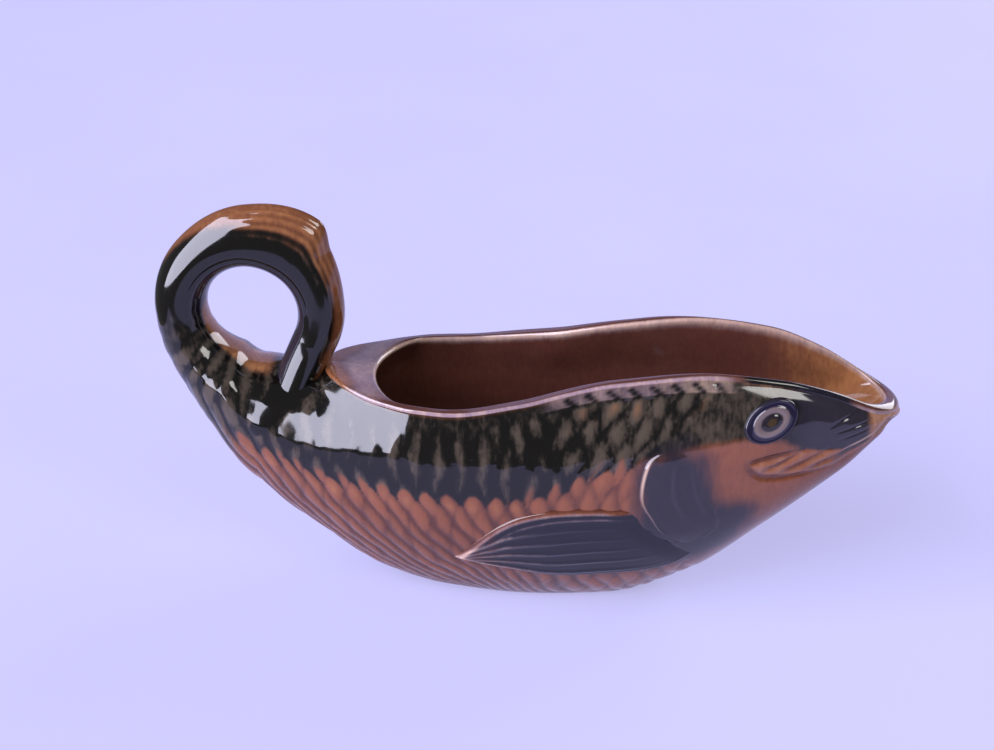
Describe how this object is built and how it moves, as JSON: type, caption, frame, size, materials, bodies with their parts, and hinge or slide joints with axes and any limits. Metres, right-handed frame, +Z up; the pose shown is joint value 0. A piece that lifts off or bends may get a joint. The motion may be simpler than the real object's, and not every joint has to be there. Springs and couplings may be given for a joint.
{
  "type": "fish-shaped gravy boat",
  "caption": "Open glazed earthenware gravy boat in the shape of a fish, with a snout spout, relief fins, gill covers and eyes, and a tail that loops over as the handle.",
  "frame": {"origin": "on the flat base, on the plane of symmetry, under the widest part of the body", "axes": "+X from the tail to the snout, +Z up from the table, so the fish's right flank faces -Y"},
  "size_m": [0.2427, 0.0702, 0.1355],
  "materials": {
    "body_glaze": "glossy brown and orange glaze",
    "tail_glaze": "glossy dark olive-brown glaze",
    "gill_glaze": "glossy slate-blue glaze",
    "fin_glaze": "glossy slate-blue glaze with tan rays",
    "eye_glaze": "glossy tan glaze with a dark ring and pupil"
  },
  "bodies": {
    "root": {"body_shell": "body_glaze", "tail_handle": "tail_glaze", "right_gill_cover": "gill_glaze", "left_gill_cover": "gill_glaze", "right_pectoral_fin": "fin_glaze", "left_pectoral_fin": "fin_glaze", "right_eye": "eye_glaze", "left_eye": "eye_glaze"}
  },
  "joints": []
}
